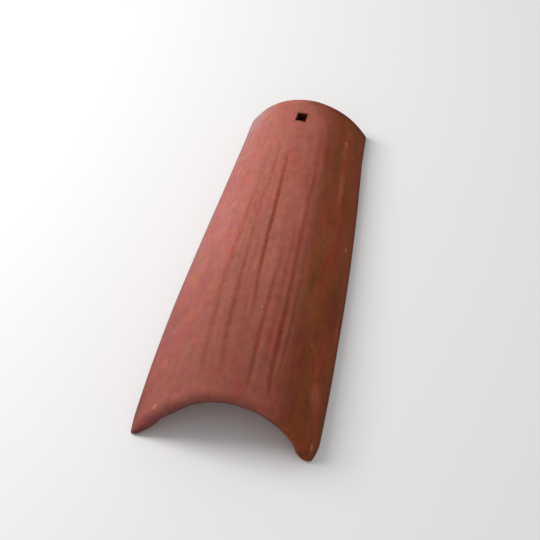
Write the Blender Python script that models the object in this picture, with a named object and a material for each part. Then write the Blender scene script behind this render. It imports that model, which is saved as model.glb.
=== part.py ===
"""Tapered barrel roof tile of fired clay.

A flat blank of clay is laid over a tapered mould, so that it sets as a half barrel,
convex side up and wider at one end. The tile rests on its two long feet, which are
level underneath. Its length runs along Y with the wide end at -Y, and the origin is on
the ground under the middle of the tile.
"""
from math import atan2, cos, hypot, radians, sin, sqrt

import bmesh
import bpy
from mathutils import Matrix, Vector

# Sizes in metres, over the feet and over the crown
LENGTH = 0.452
WIDTH_WIDE_END = 0.190
WIDTH_NARROW_END = 0.143
RISE_WIDE_END = 0.0665
RISE_NARROW_END = 0.0505
WALL = 0.014

# The bend: half the angle that the arch sweeps, and how a hand-laid blank departs from
# a true taper. The feet bow outwards, the crown leans to +X at the wide end, the crown of
# the wide end stands back from its two corners, the left corner stands further forward,
# and from 0.89 of the length on the right side flares out to the narrow end.
HALF_SWEEP = radians(54.7)
BOW = 0.0062
LEFT_BOW_POWER = 2
RIGHT_BOW_POWER = 1
FLARE = 0.0024
FLARE_START = 0.89
CROWN_LEAN = 0.0037
CROWN_SETBACK = 0.0214
WIDE_END_SKEW = 0.0040

# The blank: its width before it is bent, the faces it is divided into, its rounded
# edges, and its corners. The nose is the outer edge of the wide end, and it dies away
# towards the two feet.
GIRTH = 0.220
COLUMNS = 60
ROWS = 26
NOSE_RADIUS = 0.0080
NOSE_FADE = 0.0160
EDGE_RADIUS = 0.0020
EDGE_SEGMENTS = 2
CORNER_SEGMENTS = 4
WIDE_END = 0
NARROW_END = 1
CORNER_RADII = {
    (1, WIDE_END): 0.0060,
    (-1, WIDE_END): 0.0040,
    (1, NARROW_END): 0.0035,
    (-1, NARROW_END): 0.0040,
}

# The two front tips: within this distance of its corner each foot of the wide end thins
# to a point, which lies this far below the outer face, to the right and to the left
TIP_REACH = 0.026
TIP_SQUEEZE = 0.75
RIGHT_TIP_DEPTH = 0.0095
LEFT_TIP_DEPTH = 0.0025

# The four-sided nail hole, punched through the crown near the narrow end
NAIL_HOLE_WIDTH = 0.0120
NAIL_HOLE_LENGTH = 0.0140
NAIL_HOLE_FROM_END = 0.0330
NAIL_HOLE_OFF_CENTRE = -0.0020
NAIL_HOLE_TURN = radians(-4)
PUNCH_LENGTH = 0.060

# Marks dragged along the outer face: where each starts and ends as a share of the length
# from the wide end, its place across at both ends (-1 and 1 are the feet), how far it
# swings sideways between them, and its depth in metres
DRAG_MARKS = (
    dict(start=0.06, end=0.78, side_start=-0.280, side_end=-0.318, swing=-0.052, depth=0.0007),
    dict(start=0.05, end=0.80, side_start=-0.104, side_end=-0.212, swing=-0.042, depth=0.0009),
    dict(start=0.24, end=0.79, side_start=0.030, side_end=-0.073, swing=-0.020, depth=0.0014),
    dict(start=0.05, end=0.46, side_start=0.146, side_end=0.160, swing=-0.010, depth=0.0009),
    dict(start=0.04, end=0.90, side_start=0.332, side_end=0.286, swing=-0.008, depth=0.0011),
)
MARK_FADE = 0.12

CLAY_COLOUR = (0.33, 0.105, 0.075, 1.0)
CLAY_ROUGHNESS = 0.85

SHARP_ANGLE = radians(40)
SNAP = 0.00001


def blend(start, end, share):
    """Value a share of the way from start to end."""
    return start + (end - start) * share


def clear_scene():
    """Removes what a new file brings with it."""
    for thing in list(bpy.data.objects):
        bpy.data.objects.remove(thing, do_unlink=True)


def new_collection(name):
    """A collection linked under the scene."""
    collection = bpy.data.collections.new(name)
    bpy.context.scene.collection.children.link(collection)
    return collection


def clay_material():
    """Dull brick-red fired clay."""
    material = bpy.data.materials.new("fired_clay")
    material.use_nodes = True
    shader = material.node_tree.nodes["Principled BSDF"]
    shader.inputs["Base Color"].default_value = CLAY_COLOUR
    shader.inputs["Roughness"].default_value = CLAY_ROUGHNESS
    shader.inputs["Metallic"].default_value = 0.0
    return material


def bow_at(across, along):
    """Outward bow of the nearer foot, nil at both ends of the tile, and the right one's flare."""
    power = LEFT_BOW_POWER if across < 0 else RIGHT_BOW_POWER
    peak = 1 / (power + 1)
    highest = peak * (1 - peak) ** power
    bow = BOW * along * (1 - along) ** power / highest
    if across > 0:
        bow += FLARE * max(along - FLARE_START, 0) / (1 - FLARE_START)
    return bow


def on_mould(across, along, depth):
    """Place in the bent tile of a point of the blank.

    across runs from -1 at the left foot to 1 at the right, along from 0 at the wide end
    to 1 at the narrow one, and depth is metres below the outer face.
    """
    half_width = blend(WIDTH_WIDE_END, WIDTH_NARROW_END, along) / 2 + bow_at(across, along)
    rise = blend(RISE_WIDE_END, RISE_NARROW_END, along)
    angle = across * HALF_SWEEP
    height = (cos(angle) - cos(HALF_SWEEP)) / (1 - cos(HALF_SWEEP))
    at_wide_end = height * (1 - along)
    x = (half_width - depth) * sin(angle) / sin(HALF_SWEEP) + CROWN_LEAN * at_wide_end
    skew = WIDE_END_SKEW * (1 - across) / 2 * (1 - along)
    y = LENGTH * (along - 0.5) + CROWN_SETBACK * at_wide_end - skew
    z = (rise - depth) * height
    return Vector((x, y, z))


def mark_side(mark, along):
    """Place across of a drag mark at a share of the length."""
    share = (along - mark["start"]) / (mark["end"] - mark["start"])
    share = min(max(share, 0), 1)
    swing = mark["swing"] * 4 * share * (1 - share)
    return blend(mark["side_start"], mark["side_end"], share) + swing


def mark_depth(mark, across, along):
    """Depth of a drag mark at a point: a V, one column wide each way, that fades at its ends."""
    reach = min(along - mark["start"], mark["end"] - along) / MARK_FADE
    off_centre = abs(across - mark_side(mark, along)) * COLUMNS / 2
    return mark["depth"] * min(max(reach, 0), 1) * max(1 - off_centre, 0)


def steer(across, along):
    """Shifts the blank's columns sideways, so that one of them follows each drag mark."""
    before = (-1, -1)
    after = (1, 1)
    for mark in DRAG_MARKS:
        middle = mark_side(mark, (mark["start"] + mark["end"]) / 2)
        column = round(middle * COLUMNS / 2) * 2 / COLUMNS
        place = (column, mark_side(mark, along))
        if across <= column:
            after = place
            break
        before = place
    share = (across - before[0]) / (after[0] - before[0])
    return blend(before[1], after[1], share)


def slab():
    """Flat slab of clay, its outer face at z = 0 and its wide end at y = 0."""
    shape = bmesh.new()
    bmesh.ops.create_cube(shape, size=1)
    to_size = Matrix.Diagonal((GIRTH, LENGTH, WALL, 1))
    to_place = Matrix.Translation((0, LENGTH / 2, -WALL / 2))
    bmesh.ops.transform(shape, matrix=to_place @ to_size, verts=shape.verts)
    return shape


def bevel(shape, edges, radius, segments):
    """Rounds edges of the slab."""
    bmesh.ops.bevel(
        shape,
        geom=edges,
        offset=radius,
        segments=segments,
        profile=0.5,
        affect="EDGES",
    )


def round_corners(shape):
    """Rounds the slab's four upright corners."""
    for (side, end), radius in CORNER_RADII.items():
        corner = Vector((side * GIRTH / 2, end * LENGTH))
        upright = [
            edge for edge in shape.edges
            if all((vertex.co.xy - corner).length < SNAP for vertex in edge.verts)
        ]
        bevel(shape, upright, radius, CORNER_SEGMENTS)


def round_edges(shape):
    """Rounds the edges all round the outer and the inner face."""
    sharp = [edge for edge in shape.edges if edge.calc_face_angle(0) > SHARP_ANGLE]
    bevel(shape, sharp, EDGE_RADIUS, EDGE_SEGMENTS)


def divide(shape):
    """Slices the slab into columns and rows, so that it can bend, with two rows in the nose."""
    cuts = [(Vector((GIRTH * (i / COLUMNS - 0.5), 0, 0)), Vector((1, 0, 0))) for i in range(1, COLUMNS)]
    rows = [NOSE_RADIUS / 2, NOSE_RADIUS] + [LENGTH * j / ROWS for j in range(1, ROWS)]
    cuts += [(Vector((0, row, 0)), Vector((0, 1, 0))) for row in rows]
    for place, normal in cuts:
        everything = shape.verts[:] + shape.edges[:] + shape.faces[:]
        bmesh.ops.bisect_plane(shape, geom=everything, dist=SNAP, plane_co=place, plane_no=normal)


def nose_depth(x, y):
    """How far the rounded nose lies below the outer face at a place on the flat slab."""
    radius = CORNER_RADII[(1 if x > 0 else -1, WIDE_END)]
    round_corner = max(abs(x) - (GIRTH / 2 - radius), 0)
    from_end = y - radius + sqrt(max(radius ** 2 - round_corner ** 2, 0))
    if from_end > NOSE_RADIUS:
        return 0
    drop = NOSE_RADIUS - sqrt(NOSE_RADIUS ** 2 - (NOSE_RADIUS - max(from_end, 0)) ** 2)
    return drop * min((GIRTH / 2 - abs(x)) / NOSE_FADE, 1)


def thin_to_tip(x, y, depth):
    """Depth below the outer face after the foot has been thinned to its front tip."""
    nearness = max(1 - hypot(GIRTH / 2 - abs(x), y) / TIP_REACH, 0)
    tip_depth = RIGHT_TIP_DEPTH if x > 0 else LEFT_TIP_DEPTH
    return blend(depth, tip_depth, TIP_SQUEEZE * nearness ** 2)


def bend(shape):
    """Lays the slab over the mould and drags the marks along its outer face."""
    for vertex in shape.verts:
        across = vertex.co.x * 2 / GIRTH
        along = vertex.co.y / LENGTH
        depth = max(-vertex.co.z, nose_depth(vertex.co.x, vertex.co.y))
        across = steer(across, along)
        if depth < SNAP:
            depth += max(mark_depth(mark, across, along) for mark in DRAG_MARKS)
        depth = thin_to_tip(vertex.co.x, vertex.co.y, depth)
        vertex.co = on_mould(across, along, depth)


def barrel_tile(collection):
    """The tile, in one piece."""
    shape = slab()
    round_corners(shape)
    round_edges(shape)
    divide(shape)
    bend(shape)
    mesh = bpy.data.meshes.new("barrel_tile")
    shape.to_mesh(mesh)
    shape.free()
    mesh.shade_smooth()
    mesh.set_sharp_from_angle(angle=SHARP_ANGLE)
    mesh.materials.append(clay_material())
    tile = bpy.data.objects.new("barrel_tile", mesh)
    collection.objects.link(tile)
    return tile


def nail_punch(collection):
    """Four-sided punch that makes the nail hole, standing square to the crown."""
    crown_fall = atan2(RISE_WIDE_END - RISE_NARROW_END, LENGTH)
    bpy.ops.mesh.primitive_cube_add(size=1)
    punch = bpy.context.object
    punch.name = "nail_punch"
    for vertex in punch.data.vertices:
        vertex.co = vertex.co * Vector((NAIL_HOLE_WIDTH, NAIL_HOLE_LENGTH, PUNCH_LENGTH))
    punch.rotation_euler = (-crown_fall, 0, NAIL_HOLE_TURN)
    punch.location = (NAIL_HOLE_OFF_CENTRE, LENGTH / 2 - NAIL_HOLE_FROM_END, RISE_NARROW_END)
    for owner in list(punch.users_collection):
        owner.objects.unlink(punch)
    collection.objects.link(punch)
    punch.hide_render = True
    punch.display_type = "WIRE"
    return punch


def punch_nail_hole(tile, punch):
    """Cuts the nail hole through the crown."""
    hole = tile.modifiers.new("nail_hole", "BOOLEAN")
    hole.operation = "DIFFERENCE"
    hole.solver = "EXACT"
    hole.object = punch


def centre(tile, things):
    """Moves things so that the middle of the tile's footprint is over the origin."""
    xs = [vertex.co.x for vertex in tile.data.vertices]
    ys = [vertex.co.y for vertex in tile.data.vertices]
    middle = Vector(((min(xs) + max(xs)) / 2, (min(ys) + max(ys)) / 2, 0))
    for thing in things:
        thing.location -= middle


clear_scene()
tile = barrel_tile(new_collection("barrel_tile"))
punch = nail_punch(new_collection("cutters"))
punch_nail_hole(tile, punch)
centre(tile, (tile, punch))
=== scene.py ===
"""A tapered barrel roof tile of fired clay, lying convex side up on a pale floor."""
from math import cos, radians, sin

import bmesh
import bpy
import numpy as np
from mathutils import Matrix, Quaternion, Vector


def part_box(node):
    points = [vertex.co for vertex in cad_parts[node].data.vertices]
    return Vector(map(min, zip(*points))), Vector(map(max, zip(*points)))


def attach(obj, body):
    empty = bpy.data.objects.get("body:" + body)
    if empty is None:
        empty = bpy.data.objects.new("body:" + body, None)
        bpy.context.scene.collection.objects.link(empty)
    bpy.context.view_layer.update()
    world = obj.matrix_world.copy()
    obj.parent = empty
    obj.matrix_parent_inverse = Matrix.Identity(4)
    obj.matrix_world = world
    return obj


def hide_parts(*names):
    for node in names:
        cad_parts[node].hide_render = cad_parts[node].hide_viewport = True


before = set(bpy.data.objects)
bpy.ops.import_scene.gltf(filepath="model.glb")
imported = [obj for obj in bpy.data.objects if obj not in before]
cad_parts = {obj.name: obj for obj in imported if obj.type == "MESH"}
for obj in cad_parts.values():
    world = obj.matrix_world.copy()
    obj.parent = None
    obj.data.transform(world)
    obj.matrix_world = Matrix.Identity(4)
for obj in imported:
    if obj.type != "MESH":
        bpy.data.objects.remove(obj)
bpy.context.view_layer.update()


# The blank
# The tile starts as a flat slab of clay, cut to length and width with a wire, its corners
# and edges rounded by a wet hand. A four-sided nail hole is punched through near one end.
# The slab is divided finely here, so that it can bend and take the marks of the making.

LENGTH = 0.452
GIRTH = 0.220
WALL = 0.014
COLUMNS = 54
ROWS = 40
FINER = 2
NOSE_RADIUS = 0.0080
EDGE_RADIUS = 0.0020
EDGE_SEGMENTS = 3
SHARP_ANGLE = radians(40)
CORNER_SEGMENTS = 6
CORNER_RADII = {(1, 0): 0.0060, (-1, 0): 0.0040, (1, 1): 0.0035, (-1, 1): 0.0040}
SNAP = 0.00001

# The hole is 12 by 14 mm once the slab is bent, 33 mm from the narrow end and a little
# left of the crown. There the bend draws the slab in across to 0.781 and along to 0.957
# of its flat size, and the flat hole allows for it.
HOLE_DRAW = Vector((0.781, 0.957))
HOLE = Vector((-0.0023 / HOLE_DRAW.x, 0.4175))
HOLE_HALF = Vector((0.0060 / HOLE_DRAW.x, 0.0070 / HOLE_DRAW.y))
HOLE_LEVELS = (0.0010, 0.0035, 0.0085, 0.0125)


def divisions(length, count, start, wanted):
    """Even divisions of a length, with the nearest of them moved onto each wanted place."""
    places = [start + length * i / count for i in range(1, count)]
    for place in wanted:
        nearest = min(range(len(places)), key=lambda i: abs(places[i] - place))
        places[nearest] = place
    return places


def flat_blank():
    """Closed slab, rounded at its corners and edges and sliced into columns and rows."""
    shape = bmesh.new()
    bmesh.ops.create_cube(shape, size=1)
    to_size = Matrix.Diagonal((GIRTH, LENGTH, WALL, 1))
    to_place = Matrix.Translation((0, LENGTH / 2, -WALL / 2))
    bmesh.ops.transform(shape, matrix=to_place @ to_size, verts=shape.verts)
    for (side, end), radius in CORNER_RADII.items():
        corner = Vector((side * GIRTH / 2, end * LENGTH))
        upright = [e for e in shape.edges if all((v.co.xy - corner).length < SNAP for v in e.verts)]
        bmesh.ops.bevel(
            shape, geom=upright, offset=radius, segments=CORNER_SEGMENTS, profile=0.5, affect="EDGES"
        )
    sharp = [e for e in shape.edges if e.calc_face_angle(0) > SHARP_ANGLE]
    bmesh.ops.bevel(
        shape, geom=sharp, offset=EDGE_RADIUS, segments=EDGE_SEGMENTS, profile=0.5, affect="EDGES"
    )
    hole_sides = (HOLE.x - HOLE_HALF.x, HOLE.x + HOLE_HALF.x)
    hole_ends = (HOLE.y - HOLE_HALF.y, HOLE.y + HOLE_HALF.y)
    columns = divisions(GIRTH, COLUMNS, -GIRTH / 2, hole_sides)
    rows = [NOSE_RADIUS / 2] + divisions(LENGTH, ROWS, 0, hole_ends)
    cuts = [(Vector((x, 0, 0)), Vector((1, 0, 0))) for x in columns]
    cuts += [(Vector((0, y, 0)), Vector((0, 1, 0))) for y in rows]
    for place, normal in cuts:
        everything = shape.verts[:] + shape.edges[:] + shape.faces[:]
        bmesh.ops.bisect_plane(shape, geom=everything, dist=SNAP, plane_co=place, plane_no=normal)
    return shape


def open_nail_hole(shape):
    """Takes the clay out of the nail hole and lines it with four walls."""
    plug = []
    for face in shape.faces:
        off_centre = face.calc_center_median().xy - HOLE
        if abs(off_centre.x) < HOLE_HALF.x and abs(off_centre.y) < HOLE_HALF.y:
            plug.append(face)
    bmesh.ops.delete(shape, geom=plug, context="FACES")
    rims = [edge for edge in shape.edges if edge.is_boundary]
    walls = bmesh.ops.bridge_loops(shape, edges=rims)["faces"]
    for level in HOLE_LEVELS:
        place = Vector((0, 0, -level))
        around = {v for face in walls for v in face.verts} | {e for face in walls for e in face.edges}
        parts = bmesh.ops.bisect_plane(
            shape, geom=list(around) + walls, dist=SNAP, plane_co=place, plane_no=Vector((0, 0, 1))
        )
        walls = [part for part in parts["geom"] if isinstance(part, bmesh.types.BMFace)]


def in_order(shape):
    """Points and faces of a shape, in an order that is the same every time it is made."""
    points = sorted(shape.verts, key=lambda vertex: tuple(vertex.co))
    number = {vertex: i for i, vertex in enumerate(points)}
    rings = []
    for face in shape.faces:
        ring = [number[vertex] for vertex in face.verts]
        start = ring.index(min(ring))
        rings.append(ring[start:] + ring[:start])
    return [tuple(vertex.co) for vertex in points], sorted(rings)


shape = flat_blank()
open_nail_hole(shape)
points, rings = in_order(shape)
shape.free()
blank_mesh = bpy.data.meshes.new("clay_blank")
blank_mesh.from_pydata(points, [], rings)
blank = bpy.data.objects.new("clay_blank", blank_mesh)
bpy.context.scene.collection.objects.link(blank)
finer = blank.modifiers.new("finer", "SUBSURF")
finer.subdivision_type = "SIMPLE"
finer.levels = FINER
finer.render_levels = FINER
mesh = bpy.data.meshes.new_from_object(blank.evaluated_get(bpy.context.evaluated_depsgraph_get()))
mesh.name = "roof_tile"
bpy.data.objects.remove(blank)


# The bend
# The slab is laid over a tapered wooden mould and pressed down by hand. Its feet bow out,
# the right one flares at the narrow end, and its crown leans and slumps back at the wide
# end, whose outer edge is rounded into a nose and whose feet are worn to blunt tips.

HALF_SWEEP = radians(54.7)
WIDTHS = (0.190, 0.143)
RISES = (0.0665, 0.0505)
BOW = 0.0062
CROWN_LEAN = 0.0037
CROWN_SETBACK = 0.0214
WIDE_END_SKEW = 0.0040
FLARE = 0.0024
FLARE_START = 0.89
NOSE_FADE = 0.0160
TIP_REACH = 0.026
TIP_SQUEEZE = 0.75
TIP_DEPTHS = (0.0025, 0.0095)
HOLE_TURN = radians(-4)
HOLE_TURN_REACH = (0.010, 0.028)


def blend(start, end, share):
    """Value a share of the way from start to end."""
    return start + (end - start) * share


def ease(low, high, value):
    """Ramp from 0 at low to 1 at high, with soft ends."""
    share = np.clip((value - low) / (high - low), 0, 1)
    return share * share * (3 - 2 * share)


def nose_depth(x, y):
    """How far the rounded nose lies below the flat slab's outer face."""
    radius = np.where(x > 0, CORNER_RADII[(1, 0)], CORNER_RADII[(-1, 0)])
    round_corner = np.maximum(np.abs(x) - (GIRTH / 2 - radius), 0)
    from_end = y - radius + np.sqrt(np.maximum(radius ** 2 - round_corner ** 2, 0))
    from_end = np.clip(from_end, 0, NOSE_RADIUS)
    drop = NOSE_RADIUS - np.sqrt(NOSE_RADIUS ** 2 - (NOSE_RADIUS - from_end) ** 2)
    return drop * np.clip((GIRTH / 2 - np.abs(x)) / NOSE_FADE, 0, 1)


def thin_to_tip(x, y, depth):
    """Depth below the outer face after the two front feet have been thinned to tips."""
    nearness = np.maximum(1 - np.hypot(GIRTH / 2 - np.abs(x), y) / TIP_REACH, 0)
    tip_depth = np.where(x > 0, TIP_DEPTHS[1], TIP_DEPTHS[0])
    return blend(depth, tip_depth, TIP_SQUEEZE * nearness ** 2)


def turn_about_hole(x, y):
    """Turns the slab's grid round the nail hole, so that the hole stands askew."""
    off_x = (x - HOLE.x) * HOLE_DRAW.x
    off_y = (y - HOLE.y) * HOLE_DRAW.y
    turn = HOLE_TURN * (1 - ease(*HOLE_TURN_REACH, np.hypot(off_x, off_y)))
    turned_x = off_x * np.cos(turn) - off_y * np.sin(turn)
    turned_y = off_x * np.sin(turn) + off_y * np.cos(turn)
    return HOLE.x + turned_x / HOLE_DRAW.x, HOLE.y + turned_y / HOLE_DRAW.y


def on_mould(across, along, depth):
    """Places on the mould: across -1 to 1 from foot to foot, along 0 to 1 from the wide end."""
    left_bow = along * (1 - along) ** 2 * 27 / 4
    right_bow = along * (1 - along) * 4
    flare = np.where(across < 0, 0, FLARE * np.maximum(along - FLARE_START, 0) / (1 - FLARE_START))
    half_width = blend(*WIDTHS, along) / 2 + BOW * np.where(across < 0, left_bow, right_bow) + flare
    height = (np.cos(across * HALF_SWEEP) - cos(HALF_SWEEP)) / (1 - cos(HALF_SWEEP))
    at_wide_end = height * (1 - along)
    skew = WIDE_END_SKEW * (1 - across) / 2 * (1 - along)
    x = (half_width - depth) * np.sin(across * HALF_SWEEP) / sin(HALF_SWEEP) + CROWN_LEAN * at_wide_end
    y = LENGTH * (along - 0.5) + CROWN_SETBACK * at_wide_end - skew
    z = (blend(*RISES, along) - depth) * height
    return np.stack([x, y, z], axis=1)


corners = np.empty(len(mesh.vertices) * 3)
mesh.vertices.foreach_get("co", corners)
slab_x, slab_y, slab_z = corners.reshape(-1, 3).T
below_face = np.maximum(-slab_z, nose_depth(slab_x, slab_y))
bare = on_mould(slab_x * 2 / GIRTH, slab_y / LENGTH, thin_to_tip(slab_x, slab_y, below_face))
cad_low, cad_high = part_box("barrel_tile")
bare_middle = (bare.min(axis=0) + bare.max(axis=0)) / 2
to_frame = np.array([(cad_low.x + cad_high.x) / 2, (cad_low.y + cad_high.y) / 2]) - bare_middle[:2]


# The face of the tile
# Fingers and a wet board dragged along the crown leave long furrows with low lips and
# finer scratches between them. A finger's width above the nose is smoothed over again.
# All reliefs are in millimetres, positive where clay stands proud.

MM = 0.001
HALF_GIRTH_MM = GIRTH / 2 / MM
LANE_MM = 115
FACE_WORN_MM = 0.42
HOLE_RIM_MM = 0.30
HOLE_RIM_REACH_MM = 2.2
HOLE_RIM_DIRT = 0.50
TIP_BITE_MM = 0.12
END_BITE_MM = 0.28
WIDE_BITE_REACH = 0.012
NARROW_BITE_REACH = 0.008

# Layers of relief: the height, breadth and length of a swell in millimetres, and a seed
SCRATCHES = ((0.14, 5.5, 80, 11), (0.03, 2.6, 50, 12))
SWELLS = ((0.30, 24, 70, 21), (0.12, 9, 26, 22))
MOULD_SAND = ((0.20, 9, 30, 31), (0.10, 3, 4, 32))

# How a furrow strays from its path: millimetres, swells along the tile, and a seed
WANDER = ((0.35, 22, 5), (0.22, 85, 6))

# Spare clay left inside the wide end, on the right foot and along the left one: height in
# millimetres, place across, and distance from the end, half breadth and half length in
# millimetres
SPARE_CLAY = ((3.4, 0.90, 2, 9, 9), (2.6, -0.56, 0, 18, 8), (2.4, -0.88, 0, 12, 8))

# A lip's crest and its half width, and those of the dirt and painted shade in a furrow, as
# shares of the furrow's breadth. The lip on the left is lower.
LIP = (2.1, 1.1)
LEFT_LIP = 0.4
DIRT_AND_SHADE = (0.1, 1.25)

# Each furrow is followed from the wide end by its place along, its place across, and its
# depth there. Its breadth is half its width, and its higher lip stands on its right.
FURROWS = (
    dict(breadth=2.8, lip=0.10, dirt=0.42, path=(
        (0.06, -0.272, 0.00), (0.13, -0.301, 0.40), (0.20, -0.322, 0.45), (0.30, -0.342, 0.50),
        (0.40, -0.350, 0.46), (0.50, -0.340, 0.42), (0.60, -0.336, 0.36), (0.70, -0.330, 0.26),
        (0.82, -0.318, 0.00))),
    dict(breadth=2.5, lip=0.14, dirt=0.46, path=(
        (0.05, -0.104, 0.00), (0.10, -0.122, 0.60), (0.18, -0.148, 0.70), (0.26, -0.168, 0.66),
        (0.36, -0.186, 0.55), (0.46, -0.201, 0.44), (0.60, -0.207, 0.36), (0.70, -0.201, 0.26),
        (0.82, -0.192, 0.00))),
    dict(breadth=1.8, lip=0.24, dirt=0.95, path=(
        (0.22, 0.036, 0.00), (0.28, 0.016, 0.25), (0.35, -0.008, 0.50), (0.42, -0.023, 0.72),
        (0.50, -0.031, 0.85), (0.58, -0.037, 0.82), (0.65, -0.046, 0.60), (0.72, -0.057, 0.40),
        (0.80, -0.074, 0.00))),
    dict(breadth=2.1, lip=0.21, dirt=0.46, path=(
        (0.035, 0.154, 0.00), (0.09, 0.154, 0.60), (0.17, 0.150, 0.62), (0.24, 0.142, 0.50),
        (0.32, 0.146, 0.34), (0.40, 0.156, 0.24), (0.47, 0.156, 0.00))),
    dict(breadth=2.4, lip=0.18, dirt=0.66, path=(
        (0.030, 0.362, 0.00), (0.07, 0.342, 0.62), (0.13, 0.330, 0.72), (0.22, 0.330, 0.72),
        (0.32, 0.326, 0.60), (0.40, 0.318, 0.50), (0.50, 0.312, 0.42), (0.60, 0.314, 0.28),
        (0.70, 0.314, 0.24), (0.92, 0.290, 0.00))),
    dict(breadth=1.5, lip=0.12, dirt=0.30, path=(
        (0.05, 0.380, 0.00), (0.10, 0.390, 0.18), (0.20, 0.402, 0.24), (0.30, 0.408, 0.18),
        (0.42, 0.410, 0.00))),
    dict(breadth=2.4, lip=0.05, dirt=0.22, path=(
        (0.32, -0.255, 0.00), (0.42, -0.262, 0.18), (0.55, -0.285, 0.20), (0.72, -0.270, 0.00))),
    dict(breadth=2.0, lip=0.05, dirt=0.24, path=(
        (0.30, -0.120, 0.00), (0.38, -0.112, 0.22), (0.46, -0.105, 0.00))),
    dict(breadth=2.0, lip=0.08, dirt=0.24, path=(
        (0.10, 0.245, 0.00), (0.20, 0.250, 0.22), (0.38, 0.248, 0.15), (0.52, 0.235, 0.00))),
    dict(breadth=2.6, lip=0.05, dirt=0.30, path=(
        (0.66, 0.250, 0.00), (0.72, 0.246, 0.22), (0.78, 0.250, 0.00))),
    dict(breadth=3.4, lip=0.04, dirt=0.25, path=(
        (0.70, 0.405, 0.00), (0.82, 0.410, 0.15), (0.92, 0.430, 0.12), (0.97, 0.440, 0.00))),
)

across = slab_x * 2 / GIRTH
along = slab_y / LENGTH
girth_mm = blend(*WIDTHS, along) / 2 * HALF_SWEEP / sin(HALF_SWEEP) / MM
outer = 1 - ease(0.0005, 0.0060, below_face)
under = ease(0.0100, 0.0135, below_face)
crown = 1 - ease(0.30, 0.62, np.abs(across - 0.05))
dragged = crown * ease(0.02, 0.14, along) * (1 - ease(0.70, 0.93, along))

# Lanes that the marks follow, which crowd together a little left of the crown
lane = across + 0.14 * along * np.exp(-((across + 0.12) / 0.30) ** 2)
lane_mm = lane * LANE_MM
y_mm = slab_y / MM

TABLE_SIZE = 97


def rolling(u, v, seed):
    """Smooth random relief from -1 to 1, with about one swell for each unit of u and v."""
    table = np.random.default_rng(seed).uniform(-1, 1, (TABLE_SIZE, TABLE_SIZE))
    column = np.floor(u).astype(int)
    row = np.floor(v).astype(int)
    share_u = ease(0, 1, u - column)
    share_v = ease(0, 1, v - row)
    next_column = (column + 1) % TABLE_SIZE
    next_row = (row + 1) % TABLE_SIZE
    column = column % TABLE_SIZE
    row = row % TABLE_SIZE
    here = blend(table[column, row], table[next_column, row], share_u)
    above = blend(table[column, next_row], table[next_column, next_row], share_u)
    return blend(here, above, share_v)


def hump(off, crest, width):
    """Smooth hump of height 1, by its crest's place and its half width."""
    return np.exp(-((off - crest) / width) ** 2)


def layered(layers, u_mm, v_mm):
    """Sum of layers of rolling relief, in millimetres."""
    return sum(
        height * rolling(u_mm / breadth, v_mm / length, seed) for height, breadth, length, seed in layers
    )


furrow = 0
lips = 0
dirt = 0
for mark in FURROWS:
    stations, sides, depths = zip(*mark["path"])
    own_row = np.full_like(along, 40 * sides[0])
    wander = sum(stray * rolling(along * count, own_row, seed) for stray, count, seed in WANDER)
    off = ((across - np.interp(along, stations, sides)) * girth_mm + wander) / mark["breadth"]
    deep = np.interp(along, stations, depths)
    furrow = furrow + deep * np.exp(-off ** 2)
    strength = np.sqrt(deep / max(depths))
    lips = lips + strength * mark["lip"] * hump(off, *LIP)
    lips = lips + strength * mark["lip"] * LEFT_LIP * hump(-off, *LIP)
    dirt = np.maximum(dirt, strength * mark["dirt"] * hump(off, *DIRT_AND_SHADE))

scratches = layered(SCRATCHES, lane_mm, y_mm)
swells = layered(SWELLS, lane_mm, y_mm)
face_relief = lips - furrow + scratches * dragged + swells - FACE_WORN_MM
sand_relief = layered(MOULD_SAND, slab_x / MM, y_mm)

# Clay pushed up round the nail hole
hole_away = np.maximum(np.abs(slab_x - HOLE.x) - HOLE_HALF.x, np.abs(slab_y - HOLE.y) - HOLE_HALF.y) / MM
hole_rim = np.exp(-(np.maximum(hole_away, 0) / HOLE_RIM_REACH_MM) ** 2)
dirt = np.maximum(dirt, HOLE_RIM_DIRT * hole_rim)

spare = 0
for height, place, from_end, breadth, length in SPARE_CLAY:
    off_x = (across - place) * HALF_GIRTH_MM / breadth
    off_y = (y_mm - from_end) / length
    spare = spare + height * np.exp(-off_x ** 2 - off_y ** 2)
inner = ease(0.0060, 0.0105, below_face)
depth = below_face - MM * outer * (face_relief + HOLE_RIM_MM * hole_rim) + MM * under * sand_relief

# Nibbled ends: each is cut back a little, unevenly, and hardly at all at the tips
nibbles = 0.30 * rolling(lane_mm / 11, np.full_like(lane_mm, 0.5), 41)
nibbles = nibbles + 0.20 * rolling(lane_mm / 4, below_face / MM / 4, 42)
off_tips = ease(0.0, 0.10, 1 - np.abs(across))
bite = MM * (TIP_BITE_MM + (END_BITE_MM + 0.6 * nibbles) * off_tips)
laid_x, laid_y = turn_about_hole(slab_x, slab_y)
laid_y = laid_y + bite * (1 - ease(0, WIDE_BITE_REACH, slab_y))
laid_y = laid_y - bite * ease(LENGTH - NARROW_BITE_REACH, LENGTH, slab_y)

depth = thin_to_tip(slab_x, slab_y, depth) + MM * inner * spare
placed = on_mould(laid_x * 2 / GIRTH, laid_y / LENGTH, depth)
placed[:, :2] += to_frame
mesh.vertices.foreach_set("co", placed.ravel())
mesh.shade_smooth()
mesh.update()


# The fired clay
# Unglazed earthenware with grog, sand and a little lime in it, fired brick red. Its left
# flank and crown have bleached pink, its right flank is browner and darker, partly as painted
# shade. Dirt and painted shade lie in the furrows, painted shade darkens the wide end and its
# cut face, and the narrow end is sooty.

# The body's colour from the left foot, at 0, to the right one, at 1; the darker brown past 0.65
# is partly painted shade on the right flank
BODY_AND_FLANK_SHADE = (
    (0.05, (0.340, 0.128, 0.116)),
    (0.15, (0.372, 0.130, 0.112)),
    (0.34, (0.362, 0.120, 0.092)),
    (0.65, (0.376, 0.106, 0.072)),
    (0.73, (0.272, 0.067, 0.031)),
    (0.84, (0.292, 0.062, 0.021)),
    (0.96, (0.250, 0.056, 0.021)),
)

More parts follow.
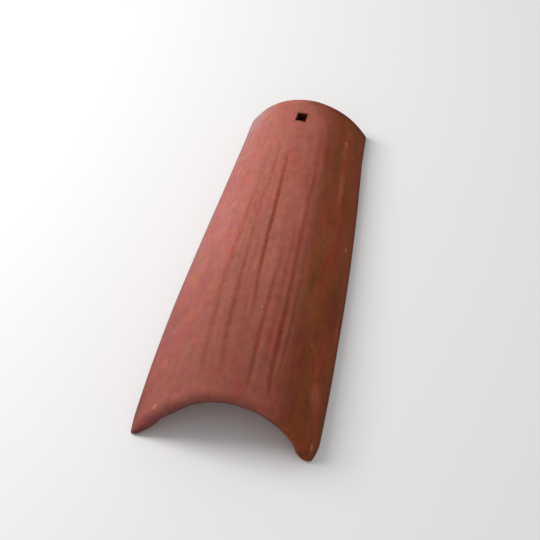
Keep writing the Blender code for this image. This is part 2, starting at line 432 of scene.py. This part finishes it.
# Colours that cover the body
GREY_BLOOM = (0.360, 0.200, 0.185)
PALE_BLOOM = (0.360, 0.245, 0.225)
WARM_STAIN = (0.385, 0.104, 0.050)
PALE_SPOT_AND_GLINT = (0.480, 0.172, 0.125)
PIT_SHADE = (0.160, 0.045, 0.030)
GROG = (0.420, 0.150, 0.100)
LIME = (0.560, 0.330, 0.240)
MOULD_FACE = (0.300, 0.096, 0.068)
LOOSE_SAND = (0.400, 0.200, 0.140)

# Tints that multiply it
WIDE_END_SHADE = (0.70, 0.64, 0.60)
RUDDY = (1.00, 0.80, 0.74)
OLIVE = (0.88, 1.06, 0.72)
REDDENED = (1.03, 0.88, 0.92)
ROSY = (1.05, 0.93, 1.00)
OCHRE = (1.00, 1.05, 0.88)
FOOT_EDGE = (0.74, 0.92, 1.00)
DARK_STAIN_AND_SHADE = (0.72, 0.74, 0.70)
LIP_DUST = (0.90, 1.07, 1.00)
FURROW_DIRT_AND_SHADE = (0.62, 0.42, 0.28)
CUT_END_SOOT_AND_SHADE = (0.52, 0.56, 0.68)
IN_HOLE_SHADE = (0.20, 0.16, 0.15)

GLOSS = 0.18
ROUGHNESS = 0.86


def keep(name, values):
    """Keeps a number for each point of the mesh, for the clay's finish to read."""
    mesh.attributes.new(name, "FLOAT", "POINT").data.foreach_set("value", np.asarray(values, float))


# Stains, worn spots and painted glints: place along, place across, half breadth and half length
# in millimetres, and strength
WARM_STAINS = (
    (0.385, -0.770, 6.0, 13.0, 0.9), (0.320, -0.740, 5.0, 9.0, 0.8), (0.253, -0.575, 4.0, 9.0, 0.9),
    (0.140, -0.730, 5.0, 10.0, 0.8), (0.880, 0.650, 4.0, 22.0, 0.8), (0.740, 0.670, 4.0, 34.0, 1.0),
    (0.560, 0.640, 5.0, 22.0, 0.6), (0.125, 0.805, 7.0, 15.0, 1.3), (0.185, 0.760, 4.0, 10.0, 0.6),
    (0.940, 0.700, 6.0, 9.0, 0.8), (0.330, 0.930, 4.0, 14.0, 0.6), (0.945, -0.560, 5.0, 8.0, 0.8),
)
# The dark spots at 0.000 and 0.004 along, on the wide end's tips, are painted shade
DARK_STAINS_AND_SHADE = (
    (0.400, 0.820, 12.0, 55.0, 0.8), (0.200, 0.700, 5.0, 14.0, 0.6), (0.255, 0.660, 4.0, 6.0, 0.8),
    (0.660, 0.480, 6.0, 45.0, 0.5), (0.060, -0.930, 10.0, 28.0, 0.8), (0.720, 0.246, 3.5, 4.5, 0.6),
    (0.960, 0.880, 6.0, 12.0, 0.6), (0.004, -0.930, 9.0, 6.0, 0.9), (0.000, 0.890, 5.0, 4.0, 0.9),
    (0.965, 0.250, 12.0, 14.0, 0.9),
)
# The spots at 0.014 and 0.021 along, on the wide end's nose, are painted glints
PALE_SPOTS_AND_GLINTS = (
    (0.965, -0.585, 1.8, 4.5, 1.0), (0.932, -0.425, 1.6, 3.0, 0.9), (0.970, -0.700, 3.0, 5.0, 0.5),
    (0.900, 0.660, 2.2, 3.5, 1.0), (0.650, 0.660, 1.6, 2.5, 0.7), (0.570, 0.870, 2.0, 4.0, 0.9),
    (0.233, 0.650, 1.5, 4.0, 0.7), (0.014, -0.685, 5.5, 4.5, 0.65), (0.021, 0.905, 3.0, 3.0, 0.9),
    (0.045, -0.780, 3.0, 3.0, 0.5), (0.300, -0.860, 2.0, 5.0, 0.6),
)


def stained(stains):
    """Strength at each point of the mesh of a list of stains."""
    total = 0
    for station, place, breadth, length, strength in stains:
        off = np.hypot((across - place) * girth_mm / breadth, (along - station) * LENGTH / MM / length)
        total = np.maximum(total, strength * np.exp(-off ** 2))
    return total


laid = mesh.attributes.new("laid", "FLOAT_VECTOR", "POINT")
laid.data.foreach_set("vector", np.stack([lane_mm, y_mm, below_face / MM], axis=1).ravel())
# Painted shade on the wide end's cut face, darker further below the outer face, weaker on the right
end_face_shade = (1 - ease(0.0010, 0.0040, slab_y)) * ease(0.0050, 0.0125, below_face)
end_face_shade = end_face_shade * (1 - 0.7 * ease(0.35, 0.75, across))
far_face = ease(LENGTH - 0.0030, LENGTH - 0.0004, slab_y) * ease(0.0008, 0.0030, below_face)
in_hole = (hole_away < 0.4) * ease(0.0005, 0.0020, below_face)
keep("side", across)
keep("dirt", outer * dirt)
keep("ridge", outer * np.clip(lips * 2.5 + scratches * dragged * 1.6, -1, 1))
keep("dragged", outer * dragged)
keep("cut_end", np.maximum(end_face_shade, far_face))
keep("in_hole", in_hole)
keep("mould_face", under)
keep("warm", stained(WARM_STAINS))
soot = 1.1 * ease(-0.15, 0.15, across) * (1 - ease(6, 13, LENGTH / MM - y_mm))
keep("dark", np.maximum(stained(DARK_STAINS_AND_SHADE), soot))
keep("pale", stained(PALE_SPOTS_AND_GLINTS))

# The nose gathers the top of the slab's end face into one line, whose points are welded
TOUCHING = 0.000001
tidied = bmesh.new()
tidied.from_mesh(mesh)
bmesh.ops.remove_doubles(tidied, verts=tidied.verts, dist=TOUCHING)
tidied.to_mesh(mesh)
tidied.free()


class Coat:
    """A socket among a finish's nodes. Sums written with it add Math nodes beside it."""

    def __init__(self, tree, socket=None):
        self.tree = tree
        self.socket = socket

    def add(self, kind, settings=(), inputs=(), output=0):
        """Adds a node: first its settings, then the values or links of its sockets."""
        node = self.tree.nodes.new(kind)
        for name, value in dict(settings).items():
            if name == "stops":
                for place, colour in value[2:]:
                    node.color_ramp.elements.new(place)
                for element, (place, colour) in zip(node.color_ramp.elements, value):
                    element.position = place
                    element.color = (*colour, 1)
            else:
                setattr(node, name, value)
        for name, value in dict(inputs).items():
            if isinstance(value, Coat):
                self.tree.links.new(value.socket, node.inputs[name])
            else:
                node.inputs[name].default_value = value
        return Coat(self.tree, node.outputs[output])

    def reckon(self, operation, first, second):
        """Math node on two numbers or sockets."""
        return self.add("ShaderNodeMath", {"operation": operation}, {0: first, 1: second})

    def __add__(self, other):
        return self.reckon("ADD", self, other)

    def __mul__(self, other):
        return self.reckon("MULTIPLY", self, other)

    def __sub__(self, other):
        return self.reckon("SUBTRACT", self, other)

    def __rsub__(self, other):
        return self.reckon("SUBTRACT", other, self)

    __radd__ = __add__
    __rmul__ = __mul__

    def kept(self, name):
        """A number kept for each point of the mesh."""
        return self.add("ShaderNodeAttribute", {"attribute_name": name}, output="Fac")

    def between(self, low, high):
        """0 below low and 1 above high, with soft ends."""
        settings = {"interpolation_type": "SMOOTHSTEP"}
        return self.add("ShaderNodeMapRange", settings, {"Value": self, "From Min": low, "From Max": high})

    def mixed(self, colour, share, blend_type):
        """This colour mixed with another in a share."""
        settings = {"data_type": "RGBA", "blend_type": blend_type}
        other = colour if isinstance(colour, Coat) else (*colour, 1)
        return self.add("ShaderNodeMix", settings, {0: share, 6: self, 7: other}, output=2)

    def coated(self, colour, share):
        """This colour with another laid over a share of it."""
        return self.mixed(colour, share, "MIX")

    def tinted(self, tint, share):
        """This colour multiplied by a tint over a share of it."""
        return self.mixed(tint, share, "MULTIPLY")

    def deepened(self, strength):
        """This colour multiplied by a number."""
        return self.add("ShaderNodeVectorMath", {"operation": "SCALE"}, {0: self, "Scale": strength})

    def beside(self, output):
        """Another output of the node that this socket belongs to."""
        return Coat(self.tree, self.socket.node.outputs[output])


clay = bpy.data.materials.new("fired_clay")
clay.use_nodes = True
coat = Coat(clay.node_tree)
places = coat.add("ShaderNodeAttribute", {"attribute_name": "laid"}, output="Vector")
side = coat.kept("side")
up_tile = coat.add("ShaderNodeSeparateXYZ", (), {0: places}, output=1) * (MM / LENGTH)


def spots_at(width, length, shift):
    """Places on the clay, scaled to swells of a width and a length in millimetres."""
    settings = {"operation": "MULTIPLY_ADD"}
    scale = (1 / width, 1 / length, 1 / width)
    return coat.add("ShaderNodeVectorMath", settings, {0: places, 1: scale, 2: (shift, shift, shift)})


def clouds(width, length, detail=2.0, shift=0.0):
    """Noise around 0.5, with swells of a width and a length in millimetres."""
    spot = spots_at(width, length, shift)
    return coat.add("ShaderNodeTexNoise", (), {"Vector": spot, "Scale": 1.0, "Detail": detail})


def specks(apart, radius, share, shift):
    """Round specks, sized in millimetres, in a share of the cells of a loose grid."""
    spot = spots_at(apart, apart, shift)
    near = coat.add("ShaderNodeTexVoronoi", (), {"Vector": spot, "Scale": 1.0})
    lot = coat.add("ShaderNodeSeparateColor", (), {0: near.beside("Color")})
    size = lot.beside("Green") * 0.7 + 0.5
    edge = near - size * (radius / apart)
    inside = 1 - edge.between(-0.3 * radius / apart, 0.15 * radius / apart)
    return inside * lot.between(1 - share, 1.001 - share)


# Body: bleached pink on the left and over the crown, browner and darker on the right, partly
# as painted shade on the flank turned from the light
broad = clouds(30, 50, detail=3, shift=3)
blotches = clouds(9, 13, shift=9)
fine = clouds(1.7, 1.7, shift=5)
grit = clouds(0.55, 0.55, shift=15)
wavering = side + (clouds(16, 60) - 0.5) * 0.12 + (up_tile - 0.5) * 0.12
colour = coat.add("ShaderNodeValToRGB", {"stops": BODY_AND_FLANK_SHADE}, {0: wavering * 0.5 + 0.5})

# Painted shade: the light falling off towards the wide end, most on the left flank and the crown
wide_end_shade = 1 - (up_tile + (broad - 0.5) * 0.30).between(0.06, 0.64)
wide_end_shade = wide_end_shade * (1 - side.between(0.00, 0.60) * 0.55)
colour = colour.tinted(WIDE_END_SHADE, wide_end_shade)

# Grey bloom near the narrow end's left foot, and redder and browner patches
left_foot = 1 - side.between(-0.95, -0.50)
bloom = up_tile.between(0.72, 1.0) * left_foot * clouds(8, 20, shift=2).between(0.35, 0.65)
colour = colour.coated(GREY_BLOOM, bloom * 0.75)
rim_bloom = up_tile.between(0.90, 0.985) * (1 - side.between(-0.75, -0.40))
colour = colour.coated(PALE_BLOOM, rim_bloom * 0.65)
ruddy = (1 - up_tile.between(0.05, 0.55)) * left_foot
colour = colour.tinted(RUDDY, ruddy)
right_flank = side.between(0.36, 0.50)
olive = clouds(17, 110, detail=1, shift=13).between(0.42, 0.62) * right_flank
colour = colour.tinted(OLIVE, olive)
reddened = clouds(15, 60, detail=1, shift=17).between(0.45, 0.65)
colour = colour.tinted(REDDENED, reddened)
left_flank = 1 - side.between(-0.50, -0.05)
rosy = clouds(22, 17, detail=1, shift=19).between(0.38, 0.66) * left_flank
colour = colour.tinted(ROSY, rosy)
ochre = clouds(20, 15, detail=1, shift=29).between(0.42, 0.66) * left_flank
colour = colour.tinted(OCHRE, ochre)

# Greyer edges of the feet
foot_edges = (side * side).between(0.80, 1.0)
colour = colour.tinted(FOOT_EDGE, foot_edges)

# Stains, broken at their edges, with painted shade on the wide end's tips
ragged = (clouds(4.0, 6.0, shift=23) - 0.5) * 0.8
warm = (coat.kept("warm") + ragged).between(0.15, 1.0)
colour = colour.coated(WARM_STAIN, warm * 0.75)
dark = (coat.kept("dark") + ragged * 0.6).between(0.15, 1.0)
colour = colour.tinted(DARK_STAIN_AND_SHADE, dark)

# Tone: long streaks where the crown was dragged, blotches, and the clay's own grain
streaks = (clouds(6, 150, detail=1) - 0.5) * coat.kept("dragged")
grain = clouds(6.5, 10, detail=1, shift=7)
bands = (clouds(14, 60, detail=1, shift=37) - 0.5) * right_flank
tone = 1 + streaks * 0.30 + (blotches - 0.5) * 0.40 + (broad - 0.5) * 0.20 + (fine - 0.5) * 0.20
tone = tone + (grain - 0.5) * 0.30 + bands * 0.55 + (grit - 0.5) * 0.45
ridge = coat.kept("ridge")
tone = tone * (1 + ridge * 0.10)
colour = colour.deepened(tone)

# Dust on the lips of the furrows, dirt and painted shade in the furrows, pits darkened with
# painted shade, grog, pale spots and painted glints, and lime
colour = colour.tinted(LIP_DUST, ridge.between(0.08, 0.50))
nicks = clouds(2.6, 4.5, shift=43)
# Darker in the furrows, partly dirt and partly painted shade
furrow_dirt_and_shade = coat.kept("dirt") * (nicks * 1.8 + 0.10)
colour = colour.tinted(FURROW_DIRT_AND_SHADE, furrow_dirt_and_shade)
pits = specks(apart=7, radius=0.75, share=0.22, shift=1)
grog = specks(apart=6, radius=0.55, share=0.22, shift=31)
lime = specks(apart=17, radius=0.8, share=0.22, shift=41)
# Pits are darkened with painted shade
colour = colour.coated(PIT_SHADE, pits * 0.55)
colour = colour.coated(GROG, grog * 0.30)
# Pale worn spots, and painted glints on the nose
pale = (coat.kept("pale") + ragged * 0.8).between(0.30, 0.80)
colour = colour.coated(PALE_SPOT_AND_GLINT, pale * 0.75)
colour = colour.coated(LIME, lime * 0.7)

# The face that lay on the sanded mould is plain; the wide cut end is darkened as painted shade,
# the narrow one as soot, and the hole as painted shade
mould_face = coat.kept("mould_face")
sand = specks(apart=2.2, radius=0.35, share=0.4, shift=51)
plain_tone = 1 + (blotches - 0.5) * 0.25 + (fine - 0.5) * 0.30
plain = coat.add("ShaderNodeVectorMath", {"operation": "SCALE"}, {0: MOULD_FACE, "Scale": plain_tone})
plain = plain.coated(LOOSE_SAND, sand * 0.4)
colour = colour.coated(plain, mould_face)
cut_end = coat.kept("cut_end")
colour = colour.tinted(CUT_END_SOOT_AND_SHADE, cut_end * (0.85 + blotches * 0.4))
# Painted shade down the walls of the nail hole
colour = colour.tinted(IN_HOLE_SHADE, coat.kept("in_hole"))

# Grain, drawn-out scratches and pits that are too small for the mesh, in millimetres
height = grit * 0.10 + clouds(1.3, 1.3, shift=61) * 0.22 + clouds(5, 7, shift=71) * 0.30
height = height + (clouds(2.6, 50, detail=1, shift=81) - 0.5) * coat.kept("dragged") * 0.08
height = height - pits * 0.30 + grog * 0.06 + lime * 0.08 - furrow_dirt_and_shade * 0.25
bump = coat.add("ShaderNodeBump", (), {"Strength": 0.8, "Distance": MM, "Height": height}, output="Normal")
roughness = ROUGHNESS + (blotches - 0.5) * 0.16 + furrow_dirt_and_shade * 0.08 - ridge * 0.06

shader = clay.node_tree.nodes["Principled BSDF"]
shader.inputs["Specular IOR Level"].default_value = GLOSS
for name, finish in {"Base Color": colour, "Roughness": roughness, "Normal": bump}.items():
    clay.node_tree.links.new(finish.socket, shader.inputs[name])

mesh.materials.append(clay)
tile = bpy.data.objects.new("roof_tile", mesh)
bpy.context.scene.collection.objects.link(tile)
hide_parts("barrel_tile")
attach(tile, "root")


# The studio
# A plain pale floor under one large soft light on the left, with plain white light all
# round, and a camera that looks down on the wide end.

FLOOR_SIZE = 8
PAPER = (0.85, 0.85, 0.85, 1)
PAPER_ROUGHNESS = 0.9
PAPER_GLOSS = 0.1
KEY_SIZE = 0.9
KEY_POWER = 34
KEY_COLOUR = (1.0, 0.98, 0.97)
KEY_AIM = Vector((0, 0, 0.03))
KEY_DISTANCE = 2.0
KEY_SIDE = (radians(-102), radians(39))
ROOM_COLOUR = (1, 1, 1, 1)
ROOM_LIGHT = 0.5
CAMERA_AIM = Vector((0.0061, -0.0215, 0.03))
CAMERA_DISTANCE = 1.0931
CAMERA_SIDE = (radians(13.69), radians(52.22))
CAMERA_ROLL = radians(-1.93)
CAMERA_ANGLE = radians(29.78)

bpy.ops.mesh.primitive_plane_add(size=FLOOR_SIZE)
floor = bpy.context.object
floor.name = "floor"
paper = bpy.data.materials.new("pale_floor")
paper.use_nodes = True
paper_shader = paper.node_tree.nodes["Principled BSDF"]
paper_shader.inputs["Base Color"].default_value = PAPER
paper_shader.inputs["Roughness"].default_value = PAPER_ROUGHNESS
paper_shader.inputs["Specular IOR Level"].default_value = PAPER_GLOSS
floor.data.materials.append(paper)


def away_from(azimuth, elevation):
    """Direction at an azimuth round from -Y towards +X, and an elevation."""
    level = cos(elevation)
    return Vector((sin(azimuth) * level, -cos(azimuth) * level, sin(elevation)))


key_data = bpy.data.lights.new("key", "AREA")
key_data.size = KEY_SIZE
key_data.energy = KEY_POWER
key_data.color = KEY_COLOUR
key = bpy.data.objects.new("key", key_data)
key_side = away_from(*KEY_SIDE)
key.location = KEY_AIM + key_side * KEY_DISTANCE
key.rotation_euler = key_side.to_track_quat("Z", "Y").to_euler()
bpy.context.scene.collection.objects.link(key)

world = bpy.data.worlds.new("studio")
world.use_nodes = True
room = world.node_tree.nodes["Background"]
room.inputs["Color"].default_value = ROOM_COLOUR
room.inputs["Strength"].default_value = ROOM_LIGHT
bpy.context.scene.world = world
bpy.context.scene.view_settings.view_transform = "Standard"

camera_data = bpy.data.cameras.new("camera")
camera_data.angle = CAMERA_ANGLE
camera = bpy.data.objects.new("camera", camera_data)
camera_side = away_from(*CAMERA_SIDE)
camera.location = CAMERA_AIM + camera_side * CAMERA_DISTANCE
camera.rotation_mode = "QUATERNION"
camera.rotation_quaternion = camera_side.to_track_quat("Z", "Y") @ Quaternion((0, 0, 1), CAMERA_ROLL)
bpy.context.scene.collection.objects.link(camera)
bpy.context.scene.camera = camera
